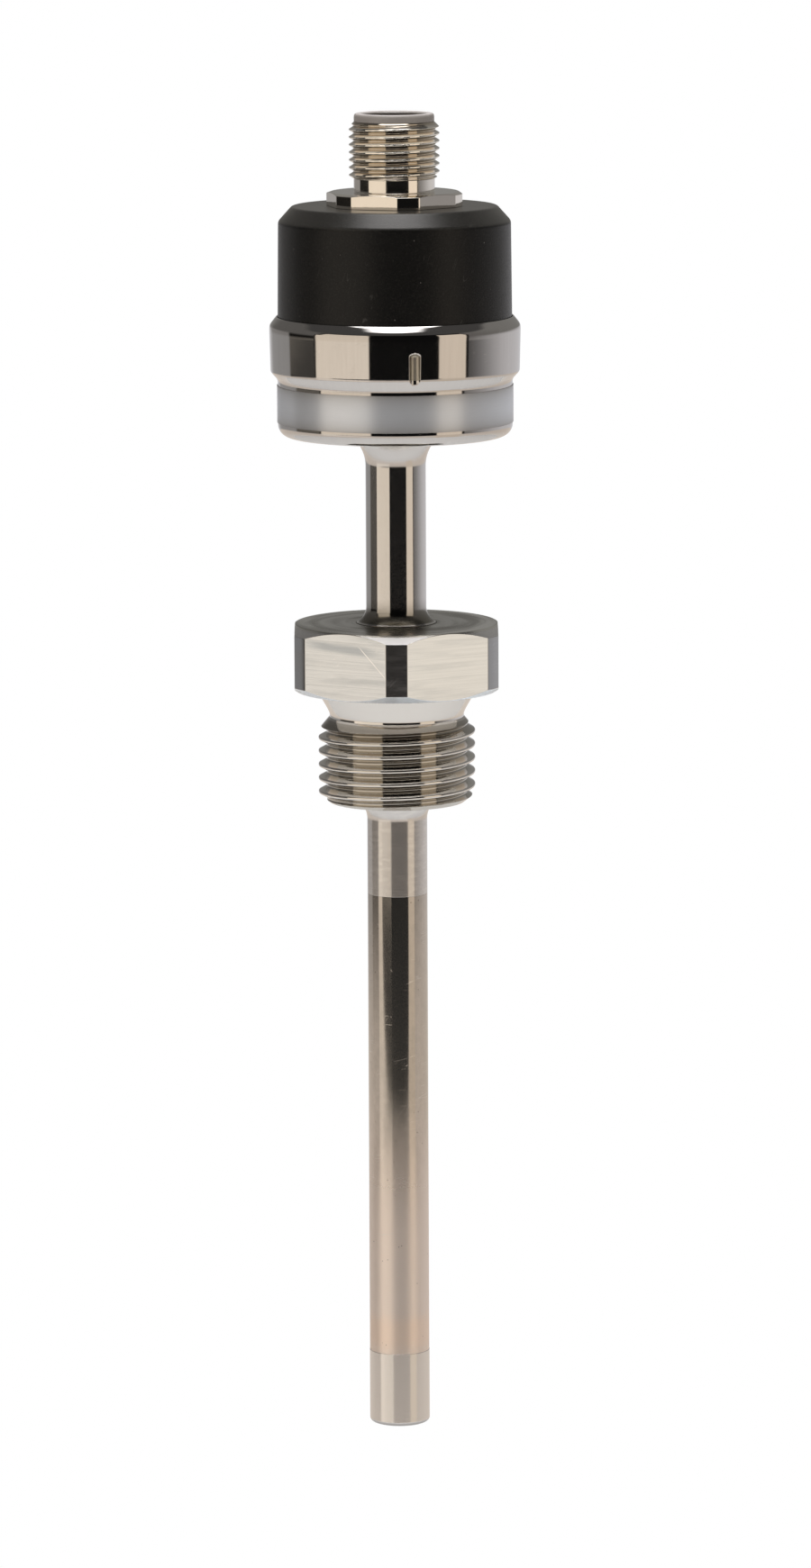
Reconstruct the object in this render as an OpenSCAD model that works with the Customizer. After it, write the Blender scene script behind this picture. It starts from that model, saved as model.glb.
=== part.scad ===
// Resistance temperature probe with a connection head: a threaded process fitting with a
// stainless stem below it, and a crimped housing with a moulded cap and a round plug above it.
// The origin is on the probe's axis, in the sealing face under the fitting's hexagon.
// +Z runs up the axis to the plug, and the tip of the stem points down.

/* [Process fitting] */
// Width of the fitting's hexagon across flats
hex_af = 27; // [24:0.5:32]
// Height of the fitting's hexagon
hex_h = 9; // [7:0.5:14]
// Depth that the hexagon's corners are turned down by
hex_corner_cut = 0.74; // [0.3:0.02:1.2]
// Angle of the hexagon's end chamfers, from the end face
hex_chamfer_angle = 35; // [20:1:45]
// Outside diameter of the process thread, G 1/2
thread_d = 20.955; // [18:0.005:24]
// Pitch of that thread
thread_pitch = 1.814; // [1.2:0.001:2.2]
// Depth of that thread
thread_depth = 1.162; // [0.5:0.001:1.25]
// Length of the threaded stud below the hexagon
stud_l = 15; // [12:0.5:25]
// Diameter at the waist of the relief under the hexagon
relief_d = 17.9; // [15:0.1:17.9]
// Width of the flat bottom of that relief
relief_w = 0.6; // [0.3:0.1:1.5]
// Width of the chamfer at the lower end of the stud
stud_chamfer = 1.45; // [0.5:0.05:2]
// Length of the turned spigot below the stud
spigot_l = 12.5; // [8:0.5:20]
// Radius of the fillets where a slim part leaves a wide face of the fitting
root_r = 3; // [1.5:0.25:3.5]

/* [Stem] */
// Outside diameter of the stem
tube_d = 8; // [6.5:0.5:9]
// Wall of the stem's tube
tube_wall = 1; // [0.6:0.1:1.2]
// Insertion length, from the sealing face to the tip
insertion_l = 100; // [70:5:250]
// Length of the welded tip plug
tip_plug_l = 10; // [9:0.5:15]
// Amount that the tip plug's diameter stands over the tube's
tip_plug_over = 0.06; // [0:0.01:0.2]
// Thickness of the tip plug's closed end
tip_end_t = 2; // [1:0.25:4]
// Rounding at the edge of the tip
tip_round = 0.6; // [0.2:0.1:1.5]

/* [Neck] */
// Outside diameter of the neck tube
neck_d = 8; // [7:0.5:9]
// Length of the neck between the hexagon and the housing
neck_l = 25; // [15:1:60]
// Depth that the neck tube enters the fitting
neck_entry = 5; // [3:0.5:6]
// Radius of the flare where the neck meets the housing
neck_flare_r = 5; // [2:0.5:6]
// Height that the neck's end stands above the housing's floor inside
neck_stand = 0.5; // [0.2:0.1:1]

/* [Housing] */
// Diameter of the lower band of the housing, which carries the label
band_d = 31.1; // [29:0.1:34]
// Height of that band with the rounded corner under it
band_h = 7.7; // [7:0.1:12]
// Radius of the housing's bottom corner
base_corner_r = 1.6; // [0.8:0.1:2]
// Thickness of the housing's floor
floor_t = 1.2; // [0.8:0.1:2]
// Wall of the lower band
band_wall = 1; // [0.6:0.1:1.4]
// Amount that the crimped ring stands out from the band, at its lower edge
ring_stand = 0.95; // [0.6:0.05:1.5]
// Amount that the ring widens towards its top
ring_flare = 0.12; // [0:0.02:0.3]
// Height of the ring's outer wall
ring_h = 5.8; // [5:0.1:9]
// Wall of the ring where it is crimped
ring_wall = 0.8; // [0.5:0.05:0.9]
// Height of the lip that is rolled in over the cap's foot
lip_h = 1.5; // [1:0.1:2.5]
// Number of stakes pressed into the ring to lock the cap
stake_count = 3; // [1:1:6]
// Radius of the stake
stake_r = 0.75; // [0.4:0.05:1]
// Depth of the stake
stake_depth = 0.5; // [0.2:0.05:0.6]
// Length of the stake
stake_l = 4; // [2:0.25:4.5]
// Direction of the first stake, from +X
stake_angle = -81; // [-180:1:180]

/* [Label] */
// Height of the label
label_h = 4.9; // [3:0.1:5.2]
// Thickness of the label's foil
label_t = 0.1; // [0.05:0.01:0.3]
// Angle that the label wraps round the band
label_wrap = 350; // [90:1:356]
// Height of the bare band left under the label
label_rise = 0.3; // [0.1:0.05:0.5]

/* [Cap] */
// Diameter of the cap where it leaves the ring
cap_d = 31; // [30.4:0.1:31]
// Amount that the cap's diameter shrinks towards its top
cap_draft = 0.25; // [0:0.05:0.6]
// Height of the cap above the ring
cap_h = 14.5; // [12:0.5:25]
// Width of the chamfer round the cap's top
cap_chamfer_w = 1.8; // [0.8:0.1:3]
// Height of that chamfer
cap_chamfer_h = 2; // [0.8:0.1:3]
// Diameter of the cap's hollow
cap_hollow_d = 24.8; // [23.5:0.1:25.5]
// Thickness of the cap's top
cap_top_t = 2.5; // [2:0.1:4]
// Length that the cap's skirt reaches down into the band
skirt_l = 5; // [4:0.25:6]
// Section of the ring seal between the skirt and the band
cap_seal_d = 1.5; // [1.2:0.1:1.8]
// Depth of the skirt's groove for that seal
cap_groove = 1.1; // [0.8:0.05:1.2]

/* [Plug connector] */
// Width of the connector's hexagonal flange across flats
flange_af = 17; // [15:0.5:19]
// Depth that the flange's corners are turned down by
flange_corner_cut = 0.75; // [0.2:0.05:1]
// Thickness of the flange
flange_h = 1.9; // [1.5:0.1:4]
// Direction that the flange is turned to
flange_turn = -18; // [-30:1:30]
// Diameter of the plain collar above the flange
collar_d = 10.7; // [10:0.1:11]
// Height of that collar
collar_h = 1.7; // [1:0.1:4]
// Outside diameter of the plug thread, M12
plug_thread_d = 12; // [11.5:0.05:14]
// Pitch of the plug thread
plug_pitch = 1; // [0.8:0.05:1.2]
// Depth of the plug thread
plug_depth = 0.61; // [0.3:0.01:0.62]
// Length of the plug thread
plug_thread_l = 7.5; // [6:0.5:12]
// Chamfer at the open end of the plug thread
plug_chamfer = 0.7; // [0.3:0.05:0.8]
// Bore of the shell that holds the contact carrier
shell_bore_d = 9.2; // [8.9:0.1:9.6]
// Diameter of the stud that passes through the cap
rear_d = 13; // [11.5:0.1:13]
// Length of that stud below the cap's top wall
rear_l = 4; // [3.5:0.25:5]
// Height of the locknut under the cap's top
locknut_h = 3; // [2:0.25:3]
// Width of the locknut across flats
locknut_af = 17; // [16:0.5:19]
// Section of the ring seal under the flange
flange_seal_d = 1; // [0.8:0.05:1.1]
// Depth of the groove for that seal
flange_groove = 0.8; // [0.5:0.05:0.8]

/* [Contacts] */
// Outside diameter of the carrier's rim above the thread
rim_d = 10.6; // [10.2:0.1:11]
// Height of that rim
rim_h = 1.1; // [0.5:0.1:2]
// Diameter of the socket in the carrier
socket_d = 8.1; // [7.8:0.1:8.3]
// Depth of the socket
socket_depth = 7.8; // [6:0.1:9]
// Length of the carrier's body below the socket
carrier_back_l = 9; // [7:0.25:11]
// Width of the coding key in the socket
key_w = 1.4; // [0.8:0.1:2]
// Height of the coding key above the socket's wall
key_h = 0.8; // [0.4:0.1:0.9]
// Direction of the coding key, from +X
key_angle = 31; // [-180:1:180]
// Number of contact pins
pin_count = 4; // [3:1:5]
// Diameter of a contact pin
pin_d = 1; // [0.6:0.05:1.1]
// Diameter of the circle that the pins stand on
pin_circle_d = 5; // [4.4:0.1:5.2]
// Depth of the pins' points below the rim
pin_inset = 2; // [1:0.1:3]
// Length of the pins' points
pin_point_l = 0.5; // [0.2:0.05:1]

/* [Transmitter] */
// Diameter of the circuit board
board_d = 23.6; // [21:0.1:23.6]
// Thickness of the circuit board
board_t = 1.6; // [0.8:0.1:2]
// Height of the board's underside above the housing's floor
board_rise = 17; // [14:0.5:18]
// Wall of the carrier ring that holds the board
board_carrier_wall = 1.4; // [0.8:0.1:1.8]
// Depth of the rebate in that carrier, which the board lies in
board_rebate = 0.8; // [0.4:0.1:0.8]
// Side of the transmitter chip
chip_w = 5; // [3:0.5:6]
// Height of the transmitter chip
chip_h = 0.9; // [0.5:0.1:1.5]
// Distance of the chip and the other components from the axis
part_circle_r = 7.3; // [7:0.1:7.6]
// Size of the small components, length
part_l = 2; // [1:0.1:3]
// Size of the small components, height
part_h = 0.8; // [0.4:0.1:1.5]
// Length of the contact tails below the board
tail_over = 0.8; // [0.3:0.1:1.5]

/* [Sensing insert] */
// Diameter of an insulated lead
lead_d = 1.2; // [0.8:0.05:1.3]
// Diameter of the circle that the four leads run on
lead_circle_d = 2.2; // [2:0.05:2.3]
// Wall of the glass sleeve round the leads
sleeve_wall = 0.4; // [0.2:0.05:0.5]
// Diameter of the sensing element
element_d = 3; // [2.7:0.1:3.2]
// Length of the sensing element
element_l = 12; // [8:0.5:20]
// Length of the bare wires between the element and the leads
element_wire_l = 2; // [1:0.25:4]
// Diameter of those wires
element_wire_d = 0.3; // [0.2:0.02:0.5]
// Wall of the insulating cup round the element
cup_wall = 0.4; // [0.2:0.05:0.45]
// Thickness of compound left under that cup
compound_t = 0.5; // [0.2:0.1:1]
// Length of the soft bush in the top of the neck
bush_l = 6; // [3:0.5:10]

/* [Hidden] */

$fn = 96;
arc_steps = 8;                 // straight steps in each rounded stretch of a profile

fit = 0.05;                    // clearance all round a part that slides into another
flat_step = 0.1;               // step between a hexagon's flats and its turned end circle
wide = 100;                    // size that is larger than any part, for cutting

// Heights on the axis
stud_z = -stud_l;
spigot_z = stud_z - spigot_l;
tip_z = -insertion_l;
plug_z = tip_z + tip_plug_l;
tip_floor_z = tip_z + tip_end_t;
neck_foot_z = hex_h - neck_entry;
base_z = hex_h + neck_l;
floor_z = base_z + floor_t;
band_top_z = base_z + band_h;
ring_z = band_top_z + ring_stand;
ring_top_z = ring_z + ring_h;
lip_z = ring_top_z + lip_h;
cap_top_z = lip_z + cap_h;
flange_top_z = cap_top_z + flange_h;
thread_z = flange_top_z + collar_h;
shell_top_z = thread_z + plug_thread_l;
rim_z = shell_top_z + rim_h;
socket_z = rim_z - socket_depth;
carrier_foot_z = socket_z - carrier_back_l;
cap_roof_z = cap_top_z - cap_top_t;
rear_z = cap_roof_z - rear_l;
board_z = floor_z + board_rise;
board_top_z = board_z + board_t;
neck_top_z = floor_z + neck_stand;

// Radii
tube_r = tube_d / 2;
bore_r = tube_r - tube_wall;
neck_r = neck_d / 2;
neck_bore_r = min(bore_r, neck_r - tube_wall);
thread_r = thread_d / 2;
band_r = band_d / 2;
band_in_r = band_r - band_wall;
ring_r = band_r + ring_stand;
ring_top_r = ring_r + ring_flare;
ring_in_r = ring_r - ring_wall;
cap_r = cap_d / 2;
cap_shoulder_r = cap_r - cap_draft / 2;
skirt_r = band_in_r - fit;
cap_hollow_r = cap_hollow_d / 2;
rear_r = rear_d / 2;
shell_bore_r = shell_bore_d / 2;
rim_r = rim_d / 2;
socket_r = socket_d / 2;
plug_thread_r = plug_thread_d / 2;
board_r = board_d / 2;

// The step inside the ring that the cap's foot stands on, and the lip's underside over it
step_z = ring_z + ring_wall;
lip_under_z = lip_z - ring_wall;
skirt_z = step_z - skirt_l;
foot_r = ring_in_r - fit;

// The seals and their grooves
cap_groove_r = skirt_r - cap_groove;
cap_groove_h = cap_seal_d + 0.3;
cap_groove_z = skirt_z + skirt_l / 2;
flange_groove_r = rear_r + fit + 0.45;
flange_groove_w = flange_seal_d + 0.2;

// The sensing insert
lead_r = lead_d / 2;
lead_ring_r = lead_circle_d / 2;
sleeve_in_r = lead_ring_r + lead_r + fit;
sleeve_r = sleeve_in_r + sleeve_wall;
cup_r = element_d / 2 + fit + cup_wall;
cup_z = tip_floor_z + compound_t;
element_z = cup_z + cup_wall;
element_top_z = element_z + element_l;
lead_foot_z = element_top_z + element_wire_l;
bush_z = neck_top_z - bush_l;
tail_d = 0.6 * pin_d;

// Points along an arc about c, from angle a to angle b
function arc(c, r, a, b) =
    [for (i = [0:arc_steps]) let (t = a + (b - a) * i / arc_steps) c + r * [cos(t), sin(t)]];

// Height over which a fillet of radius r spreads by w
function fillet_h(r, w) = sqrt(r * r - (r - w) * (r - w));

// A turned piece from its outline, given as radius and height
module turned(outline) {
    rotate_extrude() polygon(outline);
}

// Outlines of a thread's grooves, each cut as a ring: flanks at this angle from square, with a
// flat crest of the pitch times crest. They start at the height top plus start pitches.
module thread_grooves(r, pitch, depth, angle, crest, top, low, start) {
    mouth = pitch * (1 - crest) / 2;
    root = mouth - depth * tan(angle);
    for (i = [0:floor((top - low) / pitch + start)])
        translate([r, top + (start - i) * pitch])
            polygon([[1, mouth], [0, mouth], [-depth, root],
                     [-depth, -root], [0, -mouth], [1, -mouth]]);
}

// A plain bar or a cutter on the axis between two heights
module bar(r, low, high) {
    translate([0, 0, low]) cylinder(r = r, h = high - low);
}

// A tube on the axis between two heights
module pipe(outer, inner, low, high) {
    difference() {
        bar(outer, low, high);
        bar(inner, low - 1, high + 1);
    }
}

// A hexagon whose corners are turned down and chamfered at the ends that are asked for
module turned_hex(af, h, corner_cut, angle, lower = 1, upper = 1) {
    land_r = af / sqrt(3) - corner_cut;
    face_r = af / 2 - flat_step;
    chamfer_h = (land_r - face_r) * tan(angle);
    intersection() {
        cylinder(d = af / cos(30), h = h, $fn = 6);
        turned([[0, 0],
                [lower ? face_r : land_r, 0],
                [land_r, lower * chamfer_h],
                [land_r, h - upper * chamfer_h],
                [upper ? face_r : land_r, h],
                [0, h]]);
    }
}

// Copies at the four corners of the square that the leads run on
module at_leads(first) {
    for (i = [first:2:3])
        rotate([0, 0, 45 + 90 * i]) translate([lead_ring_r, 0, 0]) children();
}

// Copies at the contact pins, which stand either side of the coding key
module at_pins() {
    for (i = [0:pin_count - 1])
        rotate([0, 0, key_angle + (i + 0.5) * 360 / pin_count])
            translate([pin_circle_d / 2, 0, 0]) children();
}

// A ring seal squeezed flat: inner to outer is the room across, side is its free section
module squeezed_seal(inner, outer, side, z) {
    rotate_extrude() translate([(inner + outer) / 2, z]) intersection() {
        circle(d = side, $fn = 48);
        square([outer - inner, side], center = true);
    }
}

module process_fitting() {
    waist_r = relief_d / 2;
    hex_root_r = waist_r + 1.7;
    upper_z = -(hex_root_r - waist_r) * sqrt(3);
    lower_z = upper_z - relief_w;
    thread_top_z = lower_z - (thread_r - waist_r) * 1.2;
    stud_face_r = thread_r - stud_chamfer;
    spread = 0.4 * root_r;
    color("silver") difference() {
        union() {
            rotate([0, 0, 30]) turned_hex(hex_af, hex_h, hex_corner_cut, hex_chamfer_angle);
            rotate_extrude() difference() {
                polygon(concat(
                    [[0, 1], [hex_root_r, 1], [hex_root_r, 0], [waist_r, upper_z],
                     [waist_r, lower_z], [thread_r, thread_top_z],
                     [thread_r, stud_z + stud_chamfer * 0.75], [stud_face_r, stud_z]],
                    arc([tube_r + root_r, stud_z - fillet_h(root_r, spread)], root_r,
                        180 - acos(1 - spread / root_r), 180),
                    [[tube_r, spigot_z], [0, spigot_z]]));
                thread_grooves(thread_r, thread_pitch, thread_depth, 27.5, 1 / 6,
                               thread_top_z, stud_z, 0.18);
            }
        }
        bar(bore_r, spigot_z - 1, hex_h + 1);
        bar(neck_r + fit, neck_foot_z, hex_h + 1);
    }
}

module protection_tube() {
    color("silver") pipe(tube_r, bore_r, plug_z, spigot_z);
}

module tip_plug() {
    plug_r = (tube_d + tip_plug_over) / 2;
    color("lightgray") difference() {
        turned(concat([[0, plug_z], [plug_r, plug_z]],
                      arc([plug_r - tip_round, tip_z + tip_round], tip_round, 0, -90),
                      [[0, tip_z]]));
        bar(bore_r, tip_floor_z, plug_z + 1);
    }
}

module neck_tube() {
    low_spread = root_r / 3;
    high_spread = 0.4 * neck_flare_r;
    color("silver") difference() {
        turned(concat(
            [[0, neck_foot_z], [neck_r, neck_foot_z], [neck_r, hex_h]],
            arc([neck_r + root_r, hex_h + fillet_h(root_r, low_spread)], root_r,
                180 + acos(1 - low_spread / root_r), 180),
            arc([neck_r + neck_flare_r, base_z - fillet_h(neck_flare_r, high_spread)],
                neck_flare_r, 180, 180 - acos(1 - high_spread / neck_flare_r)),
            [[neck_r, base_z], [neck_r, neck_top_z], [0, neck_top_z]]));
        bar(neck_bore_r, neck_foot_z - 1, neck_top_z + 1);
    }
}

module stake() {
    translate([ring_r - stake_depth + stake_r, 0, ring_z - 1]) {
        cylinder(r = stake_r, h = stake_l + 1, $fn = 32);
        translate([0, 0, stake_l + 1]) cylinder(r1 = stake_r, r2 = 0, h = stake_r, $fn = 32);
    }
}

module housing() {
    lip_r = cap_r + fit;
    color("silver") difference() {
        turned(concat(
            [[0, base_z]],
            arc([band_r - base_corner_r, base_z + base_corner_r], base_corner_r, -90, 0),
            [[band_r, band_top_z - 0.3], [band_r + 0.1, band_top_z],
             [ring_r - 0.15, ring_z - 0.2], [ring_r, ring_z + 0.2],
             [ring_top_r, ring_top_z], [ring_top_r - 0.08, ring_top_z + 0.3 * lip_h],
             [lip_r + 0.1, lip_z], [lip_r, lip_z - 0.1],
             [lip_r, lip_under_z], [ring_in_r, lip_under_z - 0.3], [ring_in_r, step_z],
             [band_in_r, step_z], [band_in_r, floor_z + 1],
             [band_in_r - 1, floor_z], [0, floor_z]]));
        bar(neck_r + fit, base_z - 1, floor_z + 1);
        for (i = [0:stake_count - 1])
            rotate([0, 0, stake_angle + 360 * i / stake_count]) stake();
    }
}

module label() {
    color("gainsboro") rotate([0, 0, 90 + (360 - label_wrap) / 2])
        rotate_extrude(angle = label_wrap)
            translate([band_r, base_z + base_corner_r + label_rise]) square([label_t, label_h]);
}

module head_cap() {
    top_r = cap_shoulder_r - cap_chamfer_w;
    color("dimgray") difference() {
        turned([[0, skirt_z], [skirt_r - 0.4, skirt_z], [skirt_r, skirt_z + 0.4],
                [skirt_r, step_z], [foot_r, step_z], [foot_r, lip_under_z - 0.3 - fit],
                [cap_r, lip_under_z - fit], [cap_r, lip_z],
                [cap_shoulder_r, cap_top_z - cap_chamfer_h], [top_r, cap_top_z],
                [0, cap_top_z]]);
        bar(cap_hollow_r, skirt_z - 1, cap_roof_z);
        bar(rear_r + fit, cap_roof_z - 1, cap_top_z + 1);
        translate([0, 0, cap_top_z - flange_groove])
            pipe(flange_groove_r + flange_groove_w, flange_groove_r, 0, flange_groove + 1);
        pipe(skirt_r + 1, cap_groove_r, cap_groove_z - cap_groove_h / 2,
             cap_groove_z + cap_groove_h / 2);
    }
}

module cap_seal() {
    color("black") squeezed_seal(cap_groove_r, band_in_r, cap_seal_d, cap_groove_z);
}

module connector_shell() {
    color("lightgoldenrodyellow") difference() {
        union() {
            translate([0, 0, cap_top_z]) rotate([0, 0, flange_turn])
                turned_hex(flange_af, flange_h, flange_corner_cut, 20, 0, 1);
            rotate_extrude() difference() {
                polygon([[0, rear_z], [rear_r - 0.4, rear_z], [rear_r, rear_z + 0.4],
                         [rear_r, cap_top_z + flange_h / 2], [collar_d / 2, flange_top_z - 0.2],
                         [collar_d / 2, thread_z], [plug_thread_r, thread_z + 0.4],
                         [plug_thread_r, shell_top_z - plug_chamfer],
                         [plug_thread_r - plug_chamfer, shell_top_z], [0, shell_top_z]]);
                thread_grooves(plug_thread_r, plug_pitch, plug_depth, 30, 1 / 8,
                               shell_top_z, thread_z, -0.29);
            }
        }
        bar(shell_bore_r, rear_z - 1, shell_top_z + 1);
    }
}

module connector_seal() {
    middle = flange_groove_r + flange_groove_w / 2;
    color("black") rotate_extrude() translate([middle, cap_top_z - flange_groove / 2])
        intersection() {
            circle(d = flange_seal_d, $fn = 48);
            square([flange_seal_d, flange_groove], center = true);
        }
}

module connector_locknut() {
    color("lightgoldenrodyellow") difference() {
        translate([0, 0, cap_roof_z - locknut_h])
            turned_hex(locknut_af, locknut_h, 0.5, 30);
        bar(rear_r + fit, cap_roof_z - locknut_h - 1, cap_roof_z + 1);
    }
}

module contact_carrier() {
    color("gray") difference() {
        turned([[0, carrier_foot_z], [shell_bore_r - fit, carrier_foot_z],
                [shell_bore_r - fit, shell_top_z], [rim_r, shell_top_z],
                [rim_r, rim_z - 0.15], [rim_r - 0.15, rim_z], [0, rim_z]]);
        difference() {
            turned([[0, socket_z], [socket_r, socket_z], [socket_r, rim_z - 0.3],
                    [socket_r + 0.3, rim_z], [socket_r + 0.3, rim_z + 1], [0, rim_z + 1]]);
            rotate([0, 0, key_angle])
                translate([socket_r - key_h, -key_w / 2, socket_z - 1])
                    cube([key_h + 1, key_w, socket_depth + 0.7]);
        }
        at_pins() bar(pin_d / 2, carrier_foot_z - 1, socket_z + 1);
    }
}

module contact_pins() {
    point_z = rim_z - pin_inset;
    color("gold") at_pins() {
        turned([[0, board_z - tail_over], [tail_d / 2, board_z - tail_over],
                [tail_d / 2, board_top_z + 0.5], [pin_d / 2, board_top_z + 0.5],
                [pin_d / 2, point_z - pin_point_l], [pin_d / 5, point_z], [0, point_z]]);
    }
}

module circuit_board() {
    color("darkgreen") difference() {
        bar(board_r, board_z, board_top_z);
        at_pins() bar(tail_d / 2 + fit, board_z - 1, board_top_z + 1);
    }
}

module transmitter_chip() {
    color("black") translate([part_circle_r - chip_w / 2, -chip_w / 2, board_top_z])
        cube([chip_w, chip_w, chip_h]);
}

module board_components() {
    color("tan") for (i = [1:5])
        rotate([0, 0, 60 * i]) translate([part_circle_r, 0, board_top_z])
            translate([-part_l / 2, -part_l / 4, 0]) cube([part_l, part_l / 2, part_h]);
}

module board_carrier() {
    ring_out = board_r + (cap_hollow_r - board_r) * 0.6;
    ledge_r = board_r - board_carrier_wall;
    color("white") difference() {
        bar(ring_out, floor_z, board_z + board_rebate);
        bar(ledge_r, floor_z - 1, board_z + 1);
        bar(board_r + fit, board_z, board_z + board_rebate + 1);
    }
}

module lead_bush() {
    color("brown") difference() {
        bar(neck_bore_r - fit, bush_z, neck_top_z);
        bar(sleeve_in_r, bush_z - 1, neck_top_z + 1);
    }
}

module lead_sleeve() {
    color("ivory") pipe(sleeve_r, sleeve_in_r, lead_foot_z, bush_z);
}

module leads_red() {
    color("red") at_leads(0) bar(lead_r, lead_foot_z, board_z);
}

module leads_white() {
    color("white") at_leads(1) bar(lead_r, lead_foot_z, board_z);
}

module element_wires() {
    color("silver") at_leads(0) bar(element_wire_d / 2, element_top_z, lead_foot_z);
    color("silver") at_leads(1) bar(element_wire_d / 2, element_top_z, lead_foot_z);
}

module sensing_element() {
    color("white") bar(element_d / 2, element_z, element_top_z);
}

module element_cup() {
    color("orange") difference() {
        bar(cup_r, cup_z, element_top_z);
        bar(cup_r - cup_wall, element_z, element_top_z + 1);
    }
}

module thermal_compound() {
    color("lightgray") difference() {
        bar(bore_r, tip_floor_z, element_top_z);
        bar(cup_r, cup_z, element_top_z + 1);
    }
}

process_fitting();
protection_tube();
tip_plug();
neck_tube();
housing();
label();
head_cap();
cap_seal();
connector_shell();
connector_seal();
connector_locknut();
contact_carrier();
contact_pins();
circuit_board();
transmitter_chip();
board_components();
board_carrier();
lead_bush();
lead_sleeve();
leads_red();
leads_white();
element_wires();
sensing_element();
element_cup();
thermal_compound();
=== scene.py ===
"""Resistance temperature probe with a connection head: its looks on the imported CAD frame.

Lengths are in millimetres up to the last step, where lay_surface() turns them into metres.
"""

import math

import bpy
import numpy as np
from mathutils import Matrix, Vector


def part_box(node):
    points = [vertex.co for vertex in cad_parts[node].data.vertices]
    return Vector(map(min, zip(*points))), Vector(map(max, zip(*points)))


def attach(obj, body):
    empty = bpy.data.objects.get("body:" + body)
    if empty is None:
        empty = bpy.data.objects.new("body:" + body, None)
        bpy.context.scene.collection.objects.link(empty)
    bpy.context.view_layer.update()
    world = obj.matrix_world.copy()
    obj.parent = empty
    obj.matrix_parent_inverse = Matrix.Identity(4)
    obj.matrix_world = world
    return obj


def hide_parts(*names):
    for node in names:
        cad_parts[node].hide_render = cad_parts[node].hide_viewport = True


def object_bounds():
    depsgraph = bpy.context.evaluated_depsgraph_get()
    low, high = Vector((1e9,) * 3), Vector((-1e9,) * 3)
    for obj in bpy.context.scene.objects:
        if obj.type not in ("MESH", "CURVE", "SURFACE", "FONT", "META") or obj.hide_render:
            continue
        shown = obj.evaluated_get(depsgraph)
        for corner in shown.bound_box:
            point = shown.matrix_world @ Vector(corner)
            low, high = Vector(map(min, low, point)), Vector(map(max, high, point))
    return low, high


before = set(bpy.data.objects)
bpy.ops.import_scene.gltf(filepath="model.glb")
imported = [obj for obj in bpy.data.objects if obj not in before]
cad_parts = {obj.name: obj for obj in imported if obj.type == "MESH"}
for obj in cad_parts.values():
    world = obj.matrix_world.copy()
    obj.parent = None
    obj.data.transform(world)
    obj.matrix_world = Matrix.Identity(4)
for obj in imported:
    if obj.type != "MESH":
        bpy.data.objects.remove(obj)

CAD_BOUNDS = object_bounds()
MM = 0.001
TAU = 2 * math.pi
WHITE = (1.0, 1.0, 1.0)

# The fitting stands with its sealing face at height 0. Its hexagon: height, width across flats,
# radius of the turned corners, radius of the end faces, and slope of the chamfer between them.
# Below it: radius of the undercut, and height of the stud's foot.
HEX_TOP = 9.0
HEX_ACROSS = 27.0
HEX_LAND = HEX_ACROSS / math.sqrt(3) - 0.74
HEX_FACE = HEX_ACROSS / 2 - 0.1
HEX_SLOPE = math.tan(math.radians(35))
WAIST_R = 17.9 / 2
STUD_FOOT = -15.0

# The housing's band, the cove over it, the crimped ring's radius at its foot, and the height on
# the ring that its stakes reach
BAND_HEIGHT = 7.7
COVE_HEIGHT = 0.95
RING_R = 16.5
STAKE_TOP = 3.7

# The cap's chamfer, and the heights of the plug's flange and of the collar on it
CAP_CHAMFER = 2.0
FLANGE_HEIGHT = 1.9
COLLAR_HEIGHT = 1.7


def node_box(name):
    """The lowest and highest corner of a CAD node, in millimetres."""
    low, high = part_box(name)
    return np.array(low) / MM, np.array(high) / MM


# ------------------------------------------------ camera

CAMERA_BACK = 963.1
CAMERA_HEIGHT = 139.12
CAMERA_PITCH = math.radians(8.965)
CAMERA_YAW = math.radians(0.067)
CAMERA_ROLL = math.radians(-0.257)
CAMERA_LENS = 167.57


def place_camera():
    """Stands in front of the probe, looks along +Y and a little down, and rolls by its lean."""
    flat = math.cos(CAMERA_PITCH)
    aside, forward = math.sin(CAMERA_YAW), math.cos(CAMERA_YAW)
    ahead = np.array([aside * flat, forward * flat, -math.sin(CAMERA_PITCH)])
    level = np.cross(ahead, [0, 0, 1])
    level /= np.linalg.norm(level)
    upright = np.cross(level, ahead)
    turn, lean = math.cos(CAMERA_ROLL), math.sin(CAMERA_ROLL)
    right = turn * level + lean * upright
    up = turn * upright - lean * level
    axes = np.eye(4)
    axes[:3, 0], axes[:3, 1], axes[:3, 2] = right, up, -ahead
    axes[:3, 3] = np.array([0, -CAMERA_BACK, CAMERA_HEIGHT]) * MM
    data = bpy.data.cameras.new("camera")
    data.lens = CAMERA_LENS
    data.sensor_width = 36
    data.clip_start = 0.05
    data.clip_end = 50
    camera = bpy.data.objects.new("camera", data)
    camera.matrix_world = Matrix(axes.tolist())
    bpy.context.scene.collection.objects.link(camera)
    bpy.context.scene.camera = camera


place_camera()
bpy.context.scene.view_settings.view_transform = "Standard"


# ------------------------------------------------ shader maths


def operator(operation, swapped=False):
    """A method that adds this Math node to a Signal and another value."""

    def method(self, other):
        pair = (other, self) if swapped else (self, other)
        return self.graph.math(operation, *pair)

    return method


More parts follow.
